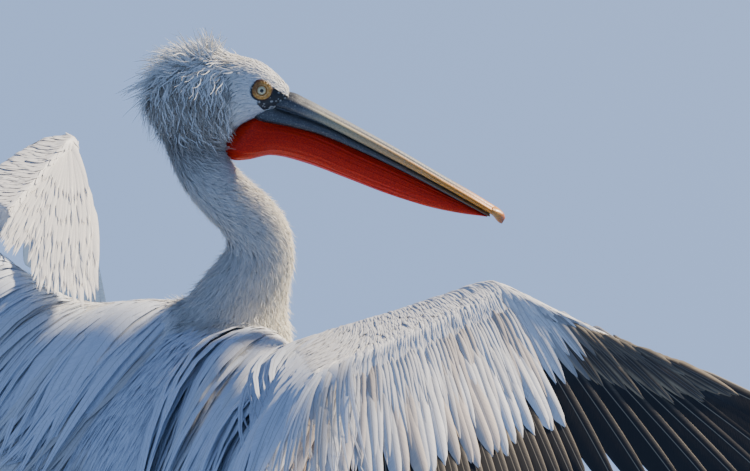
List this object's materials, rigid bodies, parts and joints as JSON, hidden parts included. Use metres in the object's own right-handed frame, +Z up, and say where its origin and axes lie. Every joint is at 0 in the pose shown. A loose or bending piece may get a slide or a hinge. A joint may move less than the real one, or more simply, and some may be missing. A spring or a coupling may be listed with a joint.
{
  "type": "pelican figure",
  "caption": "Life-size Dalmatian pelican standing on both webbed feet, wings half open, head turned to its right over a red throat pouch",
  "frame": {"origin": "on the floor under the middle of the bounding box", "axes": "the bird's body faces -Y, its left is +X and +Z is up; the head is turned toward its right, pointing between -X and -Y"},
  "size_m": [1.7334, 1.2624, 1.0246],
  "materials": {
    "white_plumage": "matt feathers",
    "grey_plumage": "matt feathers",
    "dark_plumage": "satin feathers",
    "bill_horn": "satin horn",
    "bill_nail": "polished horn",
    "pouch_skin": "damp bare skin",
    "eye": "wet and clear",
    "leg_skin": "scaly skin"
  },
  "bodies": {
    "root": {"trunk": "white_plumage", "tail": "grey_plumage", "head": "white_plumage", "eye_left": "eye", "eye_right": "eye", "bill_upper": "bill_horn", "bill_nail": "bill_nail", "bill_lower": "bill_horn", "pouch": "pouch_skin", "neck_upper": "grey_plumage", "neck_middle": "grey_plumage", "neck_lower": "grey_plumage", "upper_arm_left": "white_plumage", "tertials_left": "grey_plumage", "patagium_left": "white_plumage", "forearm_left": "white_plumage", "secondaries_left": "dark_plumage", "hand_left": "white_plumage", "primaries_left": "dark_plumage", "upper_arm_right": "white_plumage", "tertials_right": "grey_plumage", "patagium_right": "white_plumage", "forearm_right": "white_plumage", "secondaries_right": "dark_plumage", "hand_right": "white_plumage", "primaries_right": "dark_plumage", "thigh_left": "white_plumage", "tarsus_left": "leg_skin", "foot_left": "leg_skin", "thigh_right": "white_plumage", "tarsus_right": "leg_skin", "foot_right": "leg_skin"}
  },
  "joints": []
}
